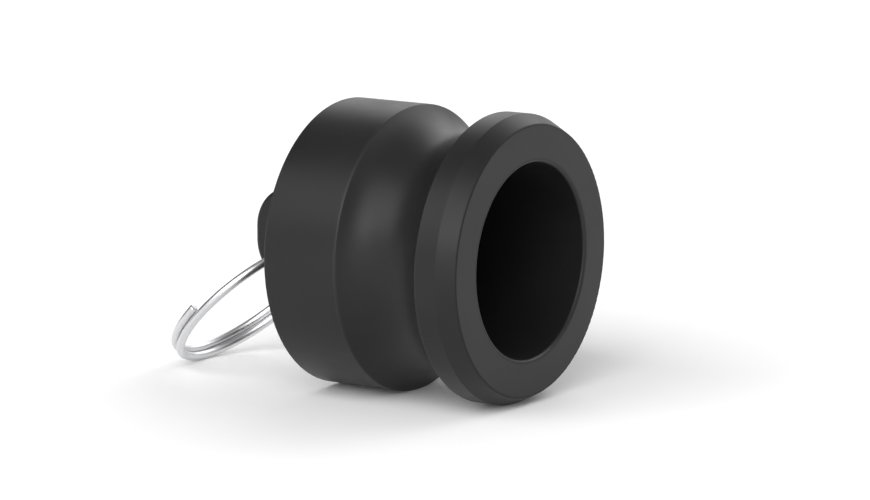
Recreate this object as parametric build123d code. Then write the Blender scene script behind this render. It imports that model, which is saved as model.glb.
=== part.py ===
from build123d import *
import math
import os

# Blanking plug for a cam-and-groove hose coupling: a moulded cup with a cam groove round its outside,
# a blind bore, and a lug behind it that holds a coiled wire split ring.
# Millimetres. The plug's axis is Y, with the mouth towards -Y and the lug towards +Y; +Z is up.
# The origin is on the axis, half way along the lip's cylindrical land.

# Plug body: outside
plug_diameter = 63.0        # lip land and barrel, the 50 mm coupling's male head
face_diameter = 59.0        # flat sealing face at the mouth, out to the bevel
bevel_length = 4.0          # from the sealing face back to the land
land_length = 5.2           # cylindrical land of the lip
groove_width = 20.4         # cam groove, from the land to the barrel
groove_depth = 5.2          # deepest point of the groove below the land
barrel_length = 18.6        # from the groove to the back face
outer_edge_radius = 0.4     # rounding of the outside edges

# Plug body: bore
bore_diameter = 42.6        # at the mouth
bore_draft = 0.8            # degrees a side, so that the core pulls out
back_wall = 6.5             # thickness of the closed end
bore_mouth_radius = 0.7     # rounding where the bore meets the sealing face
bore_bottom_radius = 3.0    # rounding at the bottom of the bore

# Lug: an upright tab on the back face, with a cross eye for the ring
lug_width = 21.8            # up and down
lug_thickness = 8.0         # across
lug_reach = 22.5            # from the back face to the tip
lug_corner_radius = 9.4     # the two corners of the rounded tip
lug_edge_radius = 1.2       # rounding round the two broad sides
lug_root_radius = 2.0       # fillet on the back face
eye_diameter = 9.5
eye_from_back = 12.4        # from the back face to the eye's axis
eye_rim_radius = 1.0        # rounding of the eye's two mouths

# Split ring: one round wire, coiled side by side
wire_diameter = 1.9
ring_inner_diameter = 36.4
coil_gap = 0.08             # between one turn and the next
turns = 1.67                # from one cut end to the other
front_end_angle = 91.0      # from the ring's lowest point to the end that lies outside, in degrees
wire_end_radius = 0.25      # rounding of the two cut ends
arc_count = 16              # arcs that the coil's centre line is drawn in, end to end
ring_play = 0.3             # between the wire and the eye's wall
seat_angle = 20.0           # where the wire lies in the eye, out from straight down, in degrees

# Worked out from the sizes above
plug_radius = plug_diameter / 2
mouth_y = -(bevel_length + land_length / 2)
land_end_y = land_length / 2
groove_end_y = land_end_y + groove_width
back_y = groove_end_y + barrel_length
bore_end_y = back_y - back_wall
eye_y = back_y + eye_from_back
wire_radius = wire_diameter / 2
ring_radius = ring_inner_diameter / 2 + wire_radius
coil_pitch = wire_diameter + coil_gap
floor_z = -plug_radius
near = 0.01                 # how close an edge has to be to its expected place to be picked


def outside_profile():
    """Half section of the plug's outside, from the mouth to the back face."""
    groove_bottom = (plug_radius - groove_depth, (land_end_y + groove_end_y) / 2)
    with BuildLine() as outline:
        Polyline(
            (0, mouth_y),
            (face_diameter / 2, mouth_y),
            (plug_radius, mouth_y + bevel_length),
            (plug_radius, land_end_y),
        )
        ThreePointArc((plug_radius, land_end_y), groove_bottom, (plug_radius, groove_end_y))
        Polyline((plug_radius, groove_end_y), (plug_radius, back_y), (0, back_y), (0, mouth_y))
    return make_face(outline.line)


def bore_profile():
    """Half section of the bore, tapered towards its closed end."""
    mouth_radius = bore_diameter / 2
    depth = bore_end_y - mouth_y
    bottom_radius = mouth_radius - depth * math.tan(math.radians(bore_draft))
    with BuildLine() as outline:
        Polyline(
            (0, mouth_y),
            (mouth_radius, mouth_y),
            (bottom_radius, bore_end_y),
            (0, bore_end_y),
            (0, mouth_y),
        )
    return make_face(outline.line)


def circle_edges(solid, radius, y):
    """Edges of a solid that are circles round the plug's axis at one place along it."""
    found = []
    for edge in solid.edges().filter_by(GeomType.CIRCLE):
        on_axis = math.hypot(edge.arc_center.X, edge.arc_center.Z) < near
        if on_axis and abs(edge.arc_center.Y - y) < near and abs(edge.radius - radius) < near:
            found.append(edge)
    return found


def turned_shell():
    """The plug without its lug, with its outside and bore edges rounded."""
    outside = revolve(outside_profile(), Axis.Y)
    bore = revolve(bore_profile(), Axis.Y)
    bottom = bore.edges().filter_by(GeomType.CIRCLE).sort_by(Axis.Y)[-1]
    bore = fillet(bottom, bore_bottom_radius)
    shell = outside - bore
    sharp = circle_edges(shell, face_diameter / 2, mouth_y)
    sharp += circle_edges(shell, plug_radius, land_end_y)
    sharp += circle_edges(shell, plug_radius, groove_end_y)
    sharp += circle_edges(shell, plug_radius, back_y)
    shell = fillet(sharp, outer_edge_radius)
    return fillet(circle_edges(shell, bore_diameter / 2, mouth_y), bore_mouth_radius)


def lug():
    """The upright tab, rounded at its tip and round its two broad sides, sunk a little into the back wall."""
    root_y = back_y - back_wall / 2
    tip_y = back_y + lug_reach
    middle_y = (root_y + tip_y) / 2
    side = Plane.YZ * Pos(middle_y, 0) * Rectangle(tip_y - root_y, lug_width)
    tab = extrude(side, lug_thickness / 2, both=True)
    corners = tab.edges().filter_by(Axis.X).group_by(Axis.Y)[-1]
    tab = fillet(corners, lug_corner_radius)
    broad_sides = tab.faces().sort_by(Axis.X)
    rim = broad_sides[0].edges() + broad_sides[-1].edges()
    outside_the_wall = [edge for edge in rim if edge.center().Y > root_y + near]
    return fillet(outside_the_wall, lug_edge_radius)


def root_edges(body):
    """Edges where the lug meets the back face."""
    found = []
    for edge in body.edges():
        box = edge.bounding_box()
        on_back = max(abs(box.min.Y - back_y), abs(box.max.Y - back_y)) < near
        widest = max(abs(box.min.X), abs(box.max.X), abs(box.min.Z), abs(box.max.Z))
        if on_back and widest < lug_width:
            found.append(edge)
    return found


def eye_rims(body):
    """Edges of the eye's two mouths, on the broad sides of the lug."""
    found = []
    for edge in body.edges().filter_by(GeomType.CIRCLE):
        on_side = abs(abs(edge.arc_center.X) - lug_thickness / 2) < near
        if on_side and abs(edge.arc_center.Y - eye_y) < near and abs(edge.radius - eye_diameter / 2) < near:
            found.append(edge)
    return found


def plug_body():
    """The whole moulding."""
    body = turned_shell() + lug()
    body = fillet(root_edges(body), lug_root_radius)
    eye = Plane.YZ * Pos(eye_y, 0) * Circle(eye_diameter / 2)
    body = body - extrude(eye, lug_thickness, both=True)
    return fillet(eye_rims(body), eye_rim_radius)


def wire_in_eye():
    """Centre of the wire where it passes through the eye's middle, in Y and Z."""
    # The wire bends round inside the eye, so it stands off by the rise of its arc along the eye's wall.
    half = lug_thickness / 2 - eye_rim_radius
    rise = ring_radius - math.sqrt(ring_radius ** 2 - half ** 2)
    offset = eye_diameter / 2 - wire_radius - ring_play - rise
    angle = math.radians(seat_angle)
    return eye_y + offset * math.sin(angle), -offset * math.cos(angle)


def ring_slope(hang_z):
    """Angle of the ring below level, in radians, with its far side on the surface the plug lies on."""
    # The height from the wire in the eye to the far side is across * sin(slope) + rise * cos(slope).
    across = 2 * ring_radius
    rise = coil_pitch / 2
    drop = hang_z - wire_radius - floor_z
    reach = math.hypot(across, rise)
    return math.asin(min(1.0, drop / reach)) - math.atan2(rise, across)


def ring_plane():
    """The plane of the ring: its X axis runs down to the far side, its Z axis is the coil's axis."""
    hang_y, hang_z = wire_in_eye()
    slope = ring_slope(hang_z)
    outward = Vector(0, math.cos(slope), -math.sin(slope))
    coil_axis = Vector(0, math.sin(slope), math.cos(slope))
    hang = Vector(0, hang_y, hang_z)
    centre = hang + outward * ring_radius - coil_axis * (coil_pitch / 2)
    return Plane(origin=centre, x_dir=outward, z_dir=coil_axis)


def coil_point(turn):
    """A point of the coil's centre line, so many turns from its first cut end."""
    angle = math.radians(turn * 360)
    return Vector(ring_radius * math.cos(angle), ring_radius * math.sin(angle), turn * coil_pitch)


def coil_line():
    """The coil's centre line, as arcs joined end to end, each through three points of the coil."""
    each = turns / arc_count
    arcs = []
    for index in range(arc_count):
        first = index * each
        arcs.append(ThreePointArc(coil_point(first), coil_point(first + each / 2), coil_point(first + each)))
    return Wire(arcs)


def split_ring():
    """The coiled wire, with its two cut ends rounded."""
    line = coil_line()
    section = Plane(origin=line @ 0, z_dir=line % 0) * Circle(wire_radius)
    wire = sweep(section, path=line)
    cut_ends = wire.faces().filter_by(GeomType.PLANE)
    wire = fillet(cut_ends[0].edges() + cut_ends[1].edges(), wire_end_radius)
    # Turns are counted from the ring's lowest point, where the coil is level with the ring's plane.
    start_turn = front_end_angle / 360 + 1 - turns
    return ring_plane() * Pos(0, 0, start_turn * coil_pitch) * Rot(0, 0, start_turn * 360) * wire


def write_parts():
    """Writes one file for each separate piece."""
    os.makedirs("parts", exist_ok=True)
    export_step(plug_body(), "parts/plug_body.step")
    export_step(split_ring(), "parts/split_ring.step")


write_parts()
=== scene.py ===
"""Looks of a blanking plug and its split ring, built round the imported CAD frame.

Everything is in metres and in the frame of the CAD: the plug's axis is Y with the mouth
towards -Y, +Z is up, and the plug lies on its side on a floor that touches its lip and barrel.
"""

from __future__ import annotations

import logging
import math
from dataclasses import dataclass, field
from enum import Enum
from functools import reduce
from typing import ClassVar

import bpy
from mathutils import Matrix, Vector


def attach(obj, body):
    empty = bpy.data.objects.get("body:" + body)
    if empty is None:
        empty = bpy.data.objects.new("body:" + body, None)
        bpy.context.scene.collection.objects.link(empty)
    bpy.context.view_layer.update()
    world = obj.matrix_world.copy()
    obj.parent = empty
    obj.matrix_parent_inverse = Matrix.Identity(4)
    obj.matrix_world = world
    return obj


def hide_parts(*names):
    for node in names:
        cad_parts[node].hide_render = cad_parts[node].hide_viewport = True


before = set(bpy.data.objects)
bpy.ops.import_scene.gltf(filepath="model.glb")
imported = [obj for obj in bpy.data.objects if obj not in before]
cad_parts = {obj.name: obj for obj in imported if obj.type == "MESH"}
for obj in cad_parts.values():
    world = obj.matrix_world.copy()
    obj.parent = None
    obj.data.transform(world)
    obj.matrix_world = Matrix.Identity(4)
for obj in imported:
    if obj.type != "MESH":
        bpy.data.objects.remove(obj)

LOG = logging.getLogger("plug")
MM = 0.001
WHITE = (1.0, 1.0, 1.0, 1.0)

Colour = tuple[float, float, float]
Triple = tuple[float, float, float]


class PlugNode(Enum):
    """The CAD nodes."""

    MOULDING = "plug_body"
    RING = "split_ring"


class PlugBodyName(Enum):
    """The bodies that move against each other."""

    PLUG = "plug"
    RING = "ring"


class FinishSlot(Enum):
    """The record's material slots."""

    BLACK_PLASTIC = "black_plastic"
    RING_STEEL = "ring_steel"


class Socket:
    """A number, colour or vector that comes out of a node, and takes part in Python arithmetic."""

    def __init__(self, tree: NodeTree, output: bpy.types.NodeSocket | None) -> None:
        """Wraps one output.

        Args:
            tree: The tree that the output belongs to.
            output: The output itself, or None for a node that has none.
        """
        self.tree = tree
        self.output = output

    def maths(self, operation: str, *values: Socket | float) -> Socket:
        """Adds a Math node.

        Args:
            operation: The Math node's operation.
            values: Its inputs, in order.

        Returns:
            The node's result.
        """
        return self.tree.node("ShaderNodeMath", {"operation": operation}, dict(enumerate(values)))

    def __add__(self, other: Socket | float) -> Socket:
        """This plus other."""
        return self.maths("ADD", self, other)

    def __radd__(self, other: float) -> Socket:
        """Other plus this."""
        return self.maths("ADD", other, self)

    def __sub__(self, other: Socket | float) -> Socket:
        """This less other."""
        return self.maths("SUBTRACT", self, other)

    def __rsub__(self, other: float) -> Socket:
        """Other less this."""
        return self.maths("SUBTRACT", other, self)

    def __mul__(self, other: Socket | float) -> Socket:
        """This times other."""
        return self.maths("MULTIPLY", self, other)

    def __rmul__(self, other: float) -> Socket:
        """Other times this."""
        return self.maths("MULTIPLY", other, self)

    def __truediv__(self, other: Socket | float) -> Socket:
        """This over other."""
        return self.maths("DIVIDE", self, other)

    def __rtruediv__(self, other: float) -> Socket:
        """Other over this."""
        return self.maths("DIVIDE", other, self)

    def sine(self) -> Socket:
        """Sine of this, in radians."""
        return self.maths("SINE", self)

    def cosine(self) -> Socket:
        """Cosine of this, in radians."""
        return self.maths("COSINE", self)

    def root(self) -> Socket:
        """Square root of this."""
        return self.maths("SQRT", self)

    def at_least(self, least: Socket | float) -> Socket:
        """The larger of this and least."""
        return self.maths("MAXIMUM", self, least)

    def at_most(self, most: Socket | float) -> Socket:
        """The smaller of this and most."""
        return self.maths("MINIMUM", self, most)

    def rise(self, start: float, end: float) -> Socket:
        """Climbs evenly from 0 where this is start, to 1 where it is end.

        Args:
            start: Where the climb begins. Below it the result stays 0.
            end: Where the climb is over. Past it the result stays 1.

        Returns:
            A number from 0 to 1.
        """
        return ((self - start) / (end - start)).at_least(0.0).at_most(1.0)


class NodeTree:
    """A shader or geometry node tree that is written in Python."""

    def __init__(self, tree: bpy.types.NodeTree) -> None:
        """Empties the tree.

        Args:
            tree: The Blender tree to write into.
        """
        self.tree = tree
        tree.nodes.clear()

    def node(self, kind: str, settings: dict[str, object], values: dict[str | int, object],
             out: str | int = 0) -> Socket:
        """Adds a node.

        Args:
            kind: The node's Blender type.
            settings: Its properties, and under "stops" a ramp's stops, which are set before
                its sockets.
            values: Its inputs by name or number: a Socket, or a plain value.
            out: The output wanted, by name or number.

        Returns:
            That output.
        """
        made = self.tree.nodes.new(kind)
        for name, value in settings.items():
            if name == "stops":
                self.set_stops(made, value)
            else:
                setattr(made, name, value)
        for name, value in values.items():
            if isinstance(value, Socket):
                self.tree.links.new(value.output, made.inputs[name])
            else:
                made.inputs[name].default_value = value
        return Socket(self, made.outputs[out] if made.outputs else None)

    @staticmethod
    def set_stops(ramp: bpy.types.Node, stops: tuple[tuple[float, float], ...]) -> None:
        """Sets a colour ramp's stops.

        Args:
            ramp: The ramp's node.
            stops: Pairs of a place from 0 to 1 and a grey from 0 to 1.
        """
        elements = ramp.color_ramp.elements
        while len(elements) > 1:
            elements.remove(elements[-1])
        for index, (place, grey) in enumerate(stops):
            element = elements[0] if index == 0 else elements.new(place)
            element.position = place
            element.color = (grey, grey, grey, 1.0)

    def noise(self, place: Socket, size: float, detail: float, roughness: float) -> Socket:
        """Adds a noise pattern.

        Args:
            place: Where the pattern is read.
            size: The size of its largest spots.
            detail: How many finer patterns lie on top of it.
            roughness: How strong the finer patterns are.

        Returns:
            The pattern, mostly between 0 and 1.
        """
        return self.node("ShaderNodeTexNoise", {}, {
            "Vector": place, "Scale": 1 / size, "Detail": detail, "Roughness": roughness}, "Fac")

    def blend(self, factor: Socket, first: Socket | Colour, second: Socket | Colour) -> Socket:
        """Mixes two colours.

        Args:
            factor: 0 for the first colour, 1 for the second.
            first: The first colour.
            second: The second colour.

        Returns:
            The mixed colour.
        """
        ends = [end if isinstance(end, Socket) else (*end, 1.0) for end in (first, second)]
        return self.node("ShaderNodeMix", {"data_type": "RGBA"}, {
            "Factor": factor, "A": ends[0], "B": ends[1]}, "Result")

    def mix_shaders(self, factor: Socket, first: Socket, second: Socket) -> Socket:
        """Mixes two shaders.

        Args:
            factor: 0 for the first shader, 1 for the second.
            first: The first shader.
            second: The second shader.

        Returns:
            The mixed shader.
        """
        return self.node("ShaderNodeMixShader", {}, {"Fac": factor, 1: first, 2: second})

    def bump(self, height: Socket, depth: float) -> Socket:
        """Turns a pattern into relief.

        Args:
            height: The pattern.
            depth: How deep the relief is, where the pattern goes from 0 to 1.

        Returns:
            The normal of the relief.
        """
        return self.node("ShaderNodeBump", {}, {
            "Strength": 1.0, "Distance": depth, "Height": height})


class Finish:
    """What every finish shares: a material with an emptied tree."""

    @staticmethod
    def start(name: str) -> tuple[bpy.types.Material, NodeTree]:
        """Makes an empty material.

        Args:
            name: The material's name.

        Returns:
            The material and its tree.
        """
        material = bpy.data.materials.new(name)
        material.use_nodes = True
        return material, NodeTree(material.node_tree)


@dataclass(frozen=True)
class Circle:
    """A circle round the plug's axis, and the share from 0 to 1 that a finish marks it by."""

    radius: float
    along: float
    share: float

    def mark(self, out: Socket, along: Socket, width: float) -> Socket:
        """Marks what lies near the circle.

        Args:
            out: A point's distance from the plug's axis.
            along: The point's place along that axis.
            width: How far the mark reaches.

        Returns:
            The circle's share on the circle itself, falling to 0 at the width.
        """
        aside, beyond = out - self.radius, along - self.along
        away = (aside * aside + beyond * beyond).root()
        return (1 - away / width).at_least(0.0) * self.share


@dataclass(frozen=True)
class MouldedPlastic(Finish):
    """Black polypropylene from a finely eroded mould: matt, with fine grain and faint clouds.

    Painted highlights make some of its edges and the bore's mouth a little paler, and painted
    shade lays faint dark lines round the sealing face, inside its outer edge and outside the bore.
    """

    colour: Colour = (0.0130, 0.0130, 0.0134)
    cloud_colour: Colour = (0.0150, 0.0150, 0.0154)
    cloud_size: float = 14 * MM
    cloud_detail: float = 3.0
    cloud_roughness: float = 0.55
    cloud_stops: tuple[tuple[float, float], ...] = ((0.3, 0.0), (0.7, 1.0))
    roughness: float = 0.40
    roughness_spread: float = 0.07
    grain_size: float = 0.28 * MM
    grain_depth: float = 0.006 * MM
    grain_detail: float = 2.0
    grain_roughness: float = 0.6
    specular: float = 0.28
    # Painted highlight: these circles on the edges and the bore's mouth are made paler, as if they
    # caught the light.
    painted_highlight_colour: Colour = (0.027, 0.027, 0.0275)
    painted_highlight_width: float = 0.55 * MM
    painted_highlight_least: float = 0.6
    painted_highlights: tuple[Circle, ...] = (
        Circle(radius=31.35 * MM, along=23.15 * MM, share=1.0),
        Circle(radius=31.35 * MM, along=41.45 * MM, share=1.0),
        Circle(radius=31.35 * MM, along=2.45 * MM, share=0.35),
        Circle(radius=21.4 * MM, along=-6.2 * MM, share=0.8),
    )
    # Painted shade: dark lines round the sealing face's outer edge and outside the bore, a little
    # rougher there.
    painted_shade_colour: Colour = (0.002, 0.002, 0.002)
    line_width: float = 0.38 * MM
    line_roughness: float = 0.35
    lines: tuple[Circle, ...] = (
        Circle(radius=29.42 * MM, along=-6.5 * MM, share=0.6),
        Circle(radius=22.0 * MM, along=-6.6 * MM, share=0.4),
    )

    def material(self) -> bpy.types.Material:
        """Builds the material.

        Returns:
            The finished material.
        """
        material, tree = self.start(f"{FinishSlot.BLACK_PLASTIC.value}_finish")
        place = tree.node("ShaderNodeTexCoord", {}, {}, "Object")
        cloud = tree.noise(place, self.cloud_size, self.cloud_detail, self.cloud_roughness)
        soft = tree.node("ShaderNodeValToRGB", {"stops": self.cloud_stops}, {"Fac": cloud})
        # Painted highlight on the edges, made stronger or weaker by the clouds.
        painted_highlight = self.near_circles(tree, place, self.painted_highlights, self.painted_highlight_width)
        painted_highlight = painted_highlight * (self.painted_highlight_least + soft * (1 - self.painted_highlight_least))
        # Painted shade: the dark lines round the sealing face.
        painted_shade = self.near_circles(tree, place, self.lines, self.line_width)
        tint = tree.blend(soft, self.colour, self.cloud_colour)
        tint = tree.blend(painted_highlight, tint, self.painted_highlight_colour)
        tint = tree.blend(painted_shade, tint, self.painted_shade_colour)
        smoothest = self.roughness - self.roughness_spread / 2
        rough = soft * self.roughness_spread + smoothest + painted_shade * self.line_roughness
        grain = tree.noise(place, self.grain_size, self.grain_detail, self.grain_roughness)
        shader = tree.node("ShaderNodeBsdfPrincipled", {}, {
            "Base Color": tint, "Roughness": rough,
            "Normal": tree.bump(grain, self.grain_depth), "Specular IOR Level": self.specular})
        tree.node("ShaderNodeOutputMaterial", {}, {"Surface": shader})
        return material

    @staticmethod
    def near_circles(tree: NodeTree, place: Socket, circles: tuple[Circle, ...],
                     width: float) -> Socket:
        """Marks what lies near any of several circles.

        Args:
            tree: The material's tree.
            place: A point of the surface.
            circles: The circles to mark.
            width: How far each mark reaches.

        Returns:
            The strongest of their marks.
        """
        across, along, up = (
            tree.node("ShaderNodeSeparateXYZ", {}, {"Vector": place}, axis) for axis in "XYZ")
        out = (across * across + up * up).root()
        return reduce(Socket.at_least, [circle.mark(out, along, width) for circle in circles])


@dataclass(frozen=True)
class SpringWire(Finish):
    """Nickel-plated spring wire: bright, with faint marks of drawing along its length."""

    colour: Colour = (0.74, 0.74, 0.75)
    worn_colour: Colour = (0.68, 0.68, 0.69)
    roughness: float = 0.33
    roughness_spread: float = 0.05
    line_length: float = 9 * MM
    line_width: float = 0.22 * MM
    line_depth: float = 0.0003 * MM
    line_detail: float = 3.0
    line_roughness: float = 0.6
    line_stops: tuple[tuple[float, float], ...] = ((0.35, 0.0), (0.7, 1.0))

    def material(self) -> bpy.types.Material:
        """Builds the material.

        Returns:
            The finished material.
        """
        material, tree = self.start(f"{FinishSlot.RING_STEEL.value}_finish")
        straight = tree.node(
            "ShaderNodeAttribute", {"attribute_name": SplitRing.straight_name}, {}, "Vector")
        stretched = tree.node("ShaderNodeMapping", {}, {
            "Vector": straight, "Scale": (self.line_width / self.line_length, 1.0, 1.0)})
        lines = tree.noise(stretched, self.line_width, self.line_detail, self.line_roughness)
        sharp = tree.node("ShaderNodeValToRGB", {"stops": self.line_stops}, {"Fac": lines})
        shader = tree.node("ShaderNodeBsdfPrincipled", {}, {
            "Base Color": tree.blend(sharp, self.colour, self.worn_colour), "Metallic": 1.0,
            "Roughness": sharp * self.roughness_spread + self.roughness,
            "Normal": tree.bump(lines, self.line_depth)})
        tree.node("ShaderNodeOutputMaterial", {}, {"Surface": shader})
        return material


@dataclass(frozen=True)
class PaperFloor(Finish):
    """White studio paper, which the camera sees lighter than the light on it makes it.

    What is added is least near the plug, so that its shadow stays, and grows away from it.
    """

    colour: float = 0.86
    seen_colour: float = 1.0
    near_glow: float = 0.035
    mid_glow: float = 0.14
    far_glow: float = 0.20
    near: float = 45 * MM
    mid: float = 92 * MM
    far: float = 700 * MM
    middle: Triple = (22 * MM, 26 * MM, 0.0)

    def material(self) -> bpy.types.Material:
        """Builds the material.

        Returns:
            The finished material.
        """
        material, tree = self.start("paper_floor_finish")
        paper, seen_paper = (
            tree.node("ShaderNodeBsdfDiffuse", {}, {"Color": (grey, grey, grey, 1.0)})
            for grey in (self.colour, self.seen_colour))
        near, mid, far = (
            tree.node("ShaderNodeEmission", {}, {"Color": WHITE, "Strength": glow})
            for glow in (self.near_glow, self.mid_glow, self.far_glow))
        place = tree.node("ShaderNodeTexCoord", {}, {}, "Object")
        away = tree.node(
            "ShaderNodeVectorMath", {"operation": "DISTANCE"}, {0: place, 1: self.middle}, "Value")
        glow = tree.mix_shaders(away.rise(self.near, self.mid), near, mid)
        glow = tree.mix_shaders(away.rise(self.mid, self.far), glow, far)
        seen = tree.node("ShaderNodeAddShader", {}, {0: seen_paper, 1: glow})
        look = tree.mix_shaders(direct_rays(tree), paper, seen)
        tree.node("ShaderNodeOutputMaterial", {}, {"Surface": look})
        return material


def direct_rays(tree: NodeTree) -> Socket:
    """Marks rays that show the backdrop: those of the camera, of reflections and of glass.

    Args:
        tree: The tree that asks.

    Returns:
        1 for such a ray and 0 for light that falls on a surface.
    """
    camera, glossy, clear = (
        tree.node("ShaderNodeLightPath", {}, {}, f"Is {kind} Ray")
        for kind in ("Camera", "Glossy", "Transmission"))
    return camera.at_least(glossy).at_least(clear)


@dataclass
class Moulding:
    """The plug's moulding, which keeps the solid of the CAD and gets its finish."""

    finish: MouldedPlastic = field(default_factory=MouldedPlastic)

    def dress(self) -> bpy.types.Object:
        """Gives the solid its finish.

        Returns:
            The CAD's own object.
        """
        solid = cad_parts[PlugNode.MOULDING.value]
        solid.data.materials.clear()
        solid.data.materials.append(self.finish.material())
        return solid


@dataclass
class SplitRing:
    """The split ring: round wire coiled side by side, hanging in the lug's eye."""

    wire_radius: float = 0.95 * MM
    coil_radius: float = 19.15 * MM
    pitch: float = 1.98 * MM
    turns: float = 1.67
    front_end: float = math.radians(91.0)
    end_rounding: float = 0.45 * MM
    centre: Triple = (0.0, 68.1169 * MM, -17.1623 * MM)
    slope: float = math.radians(44.3545)
    points: int = 700
    sides: int = 40
    crowding: float = 0.994
    finish: SpringWire = field(default_factory=SpringWire)

    straight_name: ClassVar[str] = "straight_wire"
    input_kinds: ClassVar[dict[str, str]] = {
        "Wire radius": "NodeSocketFloat", "Coil radius": "NodeSocketFloat",
        "Pitch": "NodeSocketFloat", "Turns": "NodeSocketFloat",
        "End rounding": "NodeSocketFloat", "Points": "NodeSocketInt",
        "Sides": "NodeSocketInt", "Finish": "NodeSocketMaterial"}

    def coil_tree(self) -> tuple[bpy.types.NodeTree, dict[str, str]]:
        """Writes the Geometry Nodes that coil the wire.

        Returns:
            The tree, and the identifiers of its named inputs.
        """
        tree = bpy.data.node_groups.new("coiled_wire", "GeometryNodeTree")
        names = {
            name: tree.interface.new_socket(name, in_out="INPUT", socket_type=kind).identifier
            for name, kind in self.input_kinds.items()}
        tree.interface.new_socket("Wire", in_out="OUTPUT", socket_type="NodeSocketGeometry")
        maker = NodeTree(tree)
        self.write_coil(
            maker, {name: maker.node("NodeGroupInput", {}, {}, name) for name in names})
        return tree, names

    def write_coil(self, maker: NodeTree, given: dict[str, Socket]) -> None:
        """Writes the coil's nodes.

        Args:
            maker: The tree to write into.
            given: The tree's inputs by name.
        """
        line = maker.node("GeometryNodeCurvePrimitiveLine", {}, {"End": (1.0, 0.0, 0.0)})
        line = maker.node(
            "GeometryNodeResampleCurve", {}, {"Curve": line, "Count": given["Points"]})
        share = maker.node("GeometryNodeSplineParameter", {}, {}, "Factor")
        # The points crowd towards the two cut ends, where the wire's rounding needs them.
        along = share - (share * math.tau).sine() * (self.crowding / math.tau)
        line = self.keep(maker, line, "along", along)
        along = self.kept(maker, "along")
        turned = along * given["Turns"] * math.tau
        coiled = maker.node("ShaderNodeCombineXYZ", {}, {
            "X": turned.cosine() * given["Coil radius"],
            "Y": turned.sine() * given["Coil radius"],
            "Z": along * given["Turns"] * given["Pitch"]})
        coil = maker.node(
            "GeometryNodeSetPosition", {}, {"Geometry": line, "Position": coiled})
        length = given["Turns"] * given["Coil radius"] * math.tau
        profile = maker.node("GeometryNodeCurvePrimitiveCircle", {"mode": "RADIUS"}, {
            "Resolution": given["Sides"], "Radius": given["Wire radius"]})
        around = maker.node("GeometryNodeSplineParameter", {}, {}, "Factor")
        profile = self.keep(maker, profile, "around", around)
        wire = maker.node("GeometryNodeCurveToMesh", {}, {
            "Curve": coil, "Profile Curve": profile,
            "Scale": self.thickness(given, along, length), "Fill Caps": True})
        angle = self.kept(maker, "around") * math.tau
        straight = maker.node("ShaderNodeCombineXYZ", {}, {
            "X": self.kept(maker, "along") * length,
            "Y": angle.cosine() * given["Wire radius"],
            "Z": angle.sine() * given["Wire radius"]})
        wire = maker.node(
            "GeometryNodeStoreNamedAttribute", {"data_type": "FLOAT_VECTOR", "domain": "POINT"},
            {"Geometry": wire, "Name": self.straight_name, "Value": straight})
        wire = maker.node("GeometryNodeRealizeInstances", {}, {"Geometry": wire})
        wire = maker.node(
            "GeometryNodeSetMaterial", {}, {"Geometry": wire, "Material": given["Finish"]})
        maker.node("NodeGroupOutput", {}, {"Wire": wire})

    @staticmethod
    def thickness(given: dict[str, Socket], along: Socket, length: Socket) -> Socket:
        """Works out how thick the wire is, which its rounded ends make thinner.

        Args:
            given: The tree's inputs by name.
            along: A point's place on the wire, from 0 to 1.
            length: The wire's length.

        Returns:
            The thickness there, as a share of the full one.
        """
        rounding = given["End rounding"]
        to_end = (along * length).at_most((1 - along) * length)
        missing = (rounding - to_end).at_least(0.0)
        shrink = rounding - (rounding * rounding - missing * missing).at_least(0.0).root()
        return 1 - shrink / given["Wire radius"]

    @staticmethod
    def keep(maker: NodeTree, geometry: Socket, name: str, value: Socket) -> Socket:
        """Stores a number on a geometry's points.

        Args:
            maker: The tree to write into.
            geometry: What gets the number.
            name: The attribute's name.
            value: The number.

        Returns:
            The geometry with its attribute.
        """
        return maker.node(
            "GeometryNodeStoreNamedAttribute", {"data_type": "FLOAT", "domain": "POINT"},
            {"Geometry": geometry, "Name": name, "Value": value})

    @staticmethod
    def kept(maker: NodeTree, name: str) -> Socket:
        """Reads a stored number.

        Args:
            maker: The tree to write into.
            name: The attribute's name.

        Returns:
            The number.
        """
        return maker.node(
            "GeometryNodeInputNamedAttribute", {"data_type": "FLOAT"}, {"Name": name}, "Attribute")

    def placing(self) -> Matrix:
        """Works out where the coil lies: its own X axis runs down to the ring's far side.

        Returns:
            The matrix that puts the coil in its place.
        """
        outward = Vector((0.0, math.cos(self.slope), -math.sin(self.slope)))
        axis = Vector((0.0, math.sin(self.slope), math.cos(self.slope)))
        side = axis.cross(outward)
        plane = Matrix((outward, side, axis)).transposed().to_4x4()
        first_turn = self.front_end / math.tau + 1 - self.turns
        lift = Matrix.Translation((0.0, 0.0, first_turn * self.pitch))
        spin = Matrix.Rotation(first_turn * math.tau, 4, "Z")
        return Matrix.Translation(Vector(self.centre)) @ plane @ lift @ spin

    def coil_mesh(self) -> bpy.types.Mesh:
        """Coils the wire.

        Returns:
            The coil as a plain mesh, not yet in its place.
        """
        tree, names = self.coil_tree()
        carrier = bpy.data.objects.new("coil_maker", bpy.data.meshes.new("coil_maker"))
        bpy.context.scene.collection.objects.link(carrier)
        modifier = carrier.modifiers.new("coil", "NODES")
        modifier.node_group = tree
        values = {
            "Wire radius": self.wire_radius, "Coil radius": self.coil_radius,
            "Pitch": self.pitch, "Turns": self.turns, "End rounding": self.end_rounding,
            "Points": self.points, "Sides": self.sides, "Finish": self.finish.material()}
        for name, value in values.items():
            modifier[names[name]] = value
        evaluated = carrier.evaluated_get(bpy.context.evaluated_depsgraph_get())
        mesh = bpy.data.meshes.new_from_object(evaluated)
        bpy.data.objects.remove(carrier)
        return mesh

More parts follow.
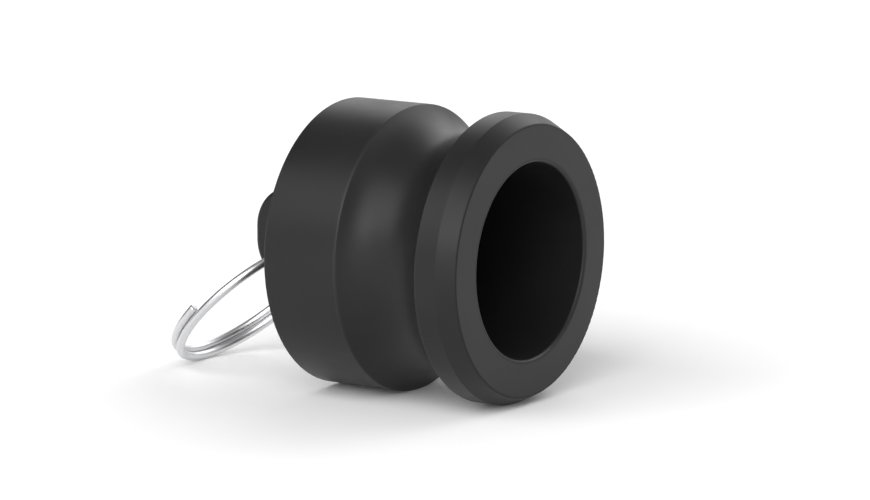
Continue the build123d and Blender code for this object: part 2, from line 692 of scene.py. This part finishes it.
    def build(self) -> bpy.types.Object:
        """Makes the ring and puts it in place of its CAD node.

        Returns:
            The finished ring.
        """
        mesh = self.coil_mesh()
        mesh.name = "ring_wire"
        mesh.transform(self.placing())
        mesh.shade_smooth()
        ring = bpy.data.objects.new("ring_wire", mesh)
        bpy.context.scene.collection.objects.link(ring)
        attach(ring, PlugBodyName.RING.value)
        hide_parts(PlugNode.RING.value)
        return ring


@dataclass(frozen=True)
class SoftBox:
    """One soft studio light, which faces the object from a direction given in degrees."""

    name: str
    azimuth: float
    elevation: float
    distance: float
    width: float
    height: float
    watts: float

    def build(self) -> None:
        """Hangs the light."""
        lamp = bpy.data.lights.new(self.name, "AREA")
        lamp.shape = "RECTANGLE"
        lamp.size = self.width
        lamp.size_y = self.height
        lamp.energy = self.watts
        holder = bpy.data.objects.new(self.name, lamp)
        turn, rise = math.radians(self.azimuth), math.radians(self.elevation)
        level = math.cos(rise)
        way = Vector((level * math.cos(turn), level * math.sin(turn), math.sin(rise)))
        holder.location = way * self.distance
        holder.rotation_euler = (-way).to_track_quat("-Z", "Y").to_euler()
        bpy.context.scene.collection.objects.link(holder)


@dataclass
class Studio:
    """The floor, the lights, the sky and the camera, whose lens and sensor are in millimetres."""

    floor_height: float = -31.5 * MM
    floor_side: float = 6.0
    sky_light: float = 0.18
    backdrop_top: float = 0.10
    ceiling_start: float = 0.25
    ceiling: float = 0.28
    flag_way: Triple = (0.0819, 0.9361, 0.3420)
    flag_edge: float = 0.80
    flag_full: float = 0.90
    flag_depth: float = 0.92
    camera_place: Triple = (-724.68 * MM, -469.56 * MM, 157.10 * MM)
    camera_forward: Triple = (0.81638, 0.54979, -0.17701)
    lens: float = 168.98
    sensor: float = 36.0
    nearest_seen: float = 0.01
    farthest_seen: float = 50.0
    floor_finish: PaperFloor = field(default_factory=PaperFloor)
    lights: tuple[SoftBox, ...] = (
        SoftBox("left_box", azimuth=178.0, elevation=40.0, distance=2.2,
                width=3.2, height=1.8, watts=47.0),
        SoftBox("left_low", azimuth=207.0, elevation=20.0, distance=2.2,
                width=1.4, height=1.0, watts=7.5),
        SoftBox("front_fill", azimuth=275.0, elevation=38.0, distance=2.2,
                width=3.4, height=1.8, watts=6.7),
        SoftBox("right_front", azimuth=-38.0, elevation=42.0, distance=2.2,
                width=1.4, height=1.2, watts=4.0),
        SoftBox("right_box", azimuth=4.0, elevation=35.0, distance=2.2,
                width=3.0, height=1.3, watts=22.0),
    )

    def lay_floor(self) -> None:
        """Lays the floor."""
        half = self.floor_side / 2
        corners = [(-half, -half), (half, -half), (half, half), (-half, half)]
        mesh = bpy.data.meshes.new("floor")
        mesh.from_pydata([(x, y, self.floor_height) for x, y in corners], [], [(0, 1, 2, 3)])
        mesh.materials.append(self.floor_finish.material())
        floor = bpy.data.objects.new("floor", mesh)
        bpy.context.scene.collection.objects.link(floor)

    def set_sky(self) -> None:
        """Sets the world: white where it is seen, and soft where it lights."""
        world = bpy.data.worlds.new("studio")
        bpy.context.scene.world = world
        world.use_nodes = True
        tree = NodeTree(world.node_tree)
        way = tree.node("ShaderNodeTexCoord", {}, {}, "Generated")
        height = tree.node("ShaderNodeSeparateXYZ", {}, {"Vector": way}, "Z")
        stops = ((self.backdrop_top, 1.0), (self.ceiling_start, self.ceiling))
        room = tree.node("ShaderNodeValToRGB", {"stops": stops}, {"Fac": height})
        # A dark flag stands behind the object, where only reflections show it.
        facing = tree.node("ShaderNodeVectorMath", {"operation": "DOT_PRODUCT"},
                           {0: way, 1: self.flag_way}, "Value")
        flag = facing.rise(self.flag_edge, self.flag_full)
        mirrored = tree.node("ShaderNodeLightPath", {}, {}, "Is Glossy Ray")
        room = room * (1 - flag * mirrored * self.flag_depth)
        dark, light, white = (
            tree.node("ShaderNodeBackground", {}, {"Color": WHITE, "Strength": strength})
            for strength in (0.0, self.sky_light, 1.0))
        shown = tree.mix_shaders(room, dark, white)
        sky = tree.mix_shaders(direct_rays(tree), light, shown)
        tree.node("ShaderNodeOutputWorld", {}, {"Surface": sky})

    def set_camera(self) -> None:
        """Sets the camera at the photograph's viewing angle."""
        lens = bpy.data.cameras.new("camera")
        lens.lens = self.lens
        lens.sensor_width = self.sensor
        lens.sensor_fit = "HORIZONTAL"
        lens.clip_start = self.nearest_seen
        lens.clip_end = self.farthest_seen
        holder = bpy.data.objects.new("camera", lens)
        holder.location = self.camera_place
        holder.rotation_euler = Vector(self.camera_forward).to_track_quat("-Z", "Y").to_euler()
        bpy.context.scene.collection.objects.link(holder)
        bpy.context.scene.camera = holder

    def build(self) -> None:
        """Builds the whole studio."""
        bpy.context.scene.view_settings.view_transform = "Standard"
        self.set_camera()
        self.lay_floor()
        self.set_sky()
        for light in self.lights:
            light.build()


def report(body: PlugBodyName, piece: bpy.types.Object) -> None:
    """Logs one finished piece.

    Args:
        body: The body that it moves with.
        piece: The piece itself.
    """
    LOG.info("%s on body %s: %d faces", piece.name, body.value, len(piece.data.polygons))


def main() -> None:
    """Builds the studio and the pieces in order and reports each one."""
    logging.basicConfig(level=logging.INFO, format="%(message)s")
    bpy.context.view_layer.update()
    Studio().build()
    LOG.info("studio built")
    report(PlugBodyName.PLUG, Moulding().dress())
    report(PlugBodyName.RING, SplitRing().build())


if __name__ == "__main__":
    main()
